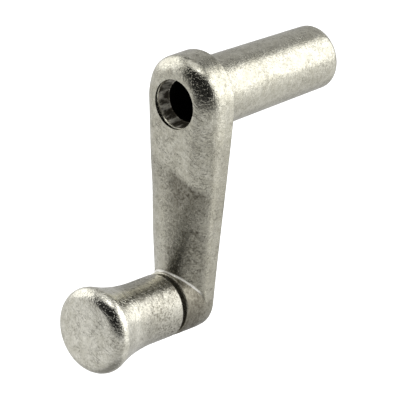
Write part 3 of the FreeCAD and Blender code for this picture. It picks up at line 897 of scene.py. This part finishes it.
# %% Nickel on the casting and the knob
CLOUD_SPAN, SPECK_SPAN, BLEND_SPAN = (0.38, 0.66), (0.42, 0.68), (0.35, 0.65)
GRIME, CLOUD_GRIME, ARM_SHADE_SPECKS, NECK_GRIME = 0.2, 0.6, 0.2, 0.5
POLISH, FINE_ROUGH, CLOUD_ROUGH, TARNISH_ROUGH = 0.11, 0.07, 0.07, 0.22


def tumbled_nickel(name, is_casting):
    """Tumbled nickel plate: a blend of two nickels, with tarnish in specks, darker and duller on the knob's
    neck, and with painted shade on the casting.
    """
    material, tree, place = start_finish(name, {"Metallic": 1.0})
    side, depth, height, from_drive, from_knob = place_on_handle(place)
    fine, middle, broad = grain(place, 0.26, 3, 0.7), grain(place, 0.75, 3, 0.6), grain(place, 3.0, 3)
    cloud = ease(grain(place, 2.2, 5, 0.7, 0.6), *CLOUD_SPAN)
    specks = ease(grain(place, 0.3, 5, 0.85), *SPECK_SPAN)
    marks = scratches(place, (0.3, 0.2, 0.9), 5.0, 0.16).most(scratches(place, (1.1, 0.5, 0.1), 4.0, 0.14))
    marks = marks.most(scratches(place, (0.2, 1.3, 2.2), 5.0, 0.18))
    if is_casting:
        shade_and_dull_neck, lower_arm_shade, crest = casting_shade_and_highlight(side, depth, height, from_knob)
        # On the casting, specks are thicker where the lower arm has painted shade.
        grime_and_shade, plate = cloud * CLOUD_GRIME + GRIME + lower_arm_shade * ARM_SHADE_SPECKS, (NICKEL, NICKEL_LIGHT)
    else:
        shade_and_dull_neck = ease(depth, *NECK) * NECK_DULL
        grime_and_shade, plate = cloud * CLOUD_GRIME + GRIME + shade_and_dull_neck * NECK_GRIME, (NICKEL_LIGHT, KNOB_NICKEL)
    # On the casting this darkening is partly real tarnish in specks and partly painted shade.
    tarnish_and_shade = specks * grime_and_shade + shade_and_dull_neck * (0.6 + middle * 0.8)
    colour = blend_colours(ease(broad * 0.4 + middle * 0.6, *BLEND_SPAN), *plate)
    colour = blend_colours(tarnish_and_shade, colour, TARNISH_AND_SHADE)
    rough = POLISH + fine * FINE_ROUGH + cloud * CLOUD_ROUGH + tarnish_and_shade * TARNISH_ROUGH
    if is_casting:
        colour, rough, metal = casting_marks(place, colour, rough, crest, depth, from_drive)
        feed(tree, Metallic=metal)
    normal = dent(fine + marks * -0.5, FINE_DENT, dent(middle, MIDDLE_DENT))
    feed(tree, Base_Color=colour, Roughness=rough, Normal=normal)
    print(f"{name}: {len(tree.nodes)} nodes")
    return material


casting.data.materials.append(tumbled_nickel("tumbled_nickel", True))
knob_piece.data.materials.append(tumbled_nickel("knob_nickel", False))

# %% [markdown]
# The hidden parts are plain steel. Black oxide is a thin grey-black skin that wears bright on the tooth
# crests. The turned stem shows the rings of the hammer and the lathe, and the stamped washers are
# phosphated, dull and slightly blotched.

# %% Steel finishes
OXIDE, OXIDE_LIGHT, BARE_STEEL = (0.055, 0.055, 0.06), (0.11, 0.108, 0.105), (0.42, 0.41, 0.39)
TURNED, STAINED = (0.46, 0.45, 0.43), (0.20, 0.18, 0.155)
PHOSPHATE, PHOSPHATE_RUBBED = (0.07, 0.07, 0.068), (0.19, 0.185, 0.175)
RING_RADIANS_PER_MM = 42.0


def black_oxide(name):
    """Black oxide: dark and satin, with bright wear where the spindle has rubbed the crests."""
    material, tree, place = start_finish(name, {"Metallic": 1.0})
    _, depth, _, from_drive, _ = place_on_handle(place)
    blotch, fine = grain(place, 1.2, 4, 0.6), grain(place, 0.2, 2)
    rubbed = ease(from_drive, CREST + 0.14, CREST + 0.02) * ease(depth, 2.0, 5.0) * ease(blotch, 0.35, 0.6)
    rubbed = rubbed.most(ease(fine, 0.66, 0.76) * 0.5)
    colour = blend_colours(rubbed, blend_colours(blotch, OXIDE, OXIDE_LIGHT), BARE_STEEL)
    feed(tree, Base_Color=colour, Roughness=0.5 - rubbed * 0.2 + blotch * 0.1, Normal=dent(fine, 0.02))
    return material


def turned_steel(name):
    """Bright steel with fine rings round the knob's axis and a few stains."""
    material, tree, place = start_finish(name, {"Metallic": 1.0})
    _, depth, _, _, from_knob = place_on_handle(place)
    wave = (from_knob + depth) * RING_RADIANS_PER_MM
    rings = node(tree, "ShaderNodeMath", {"operation": "SINE"}, {0: wave})
    stain, fine = ease(grain(place, 0.9, 4, 0.7), 0.45, 0.7), grain(place, 0.18, 2)
    feed(tree, Base_Color=blend_colours(stain, TURNED, STAINED), Roughness=0.27 + stain * 0.2 + fine * 0.08,
         Normal=dent(rings * 0.12 + grain(place, 0.45, 3), 0.03))
    return material


def phosphated_steel(name):
    """Dark grey phosphate: crystalline and dull, a little lighter where it has rubbed."""
    material, tree, place = start_finish(name, {"Metallic": 0.8})
    crystals, blotch = grain(place, 0.15, 3, 0.7), grain(place, 0.9, 3)
    colour = blend_colours(blotch * 0.6 + crystals * 0.4, PHOSPHATE, PHOSPHATE_RUBBED)
    feed(tree, Base_Color=colour, Roughness=0.42 + crystals * 0.2, Normal=dent(crystals, 0.02))
    return material


# %% The steel pieces' finishes
sleeve_piece.data.materials.append(black_oxide("sleeve_oxide"))
stem_piece.data.materials.append(turned_steel("stem_turned"))
phosphate = phosphated_steel("washer_phosphate")
for washer in (thrust_piece, rear_piece):
    washer.data.materials.append(phosphate)
print("materials:", sorted(material.name for material in bpy.data.materials))
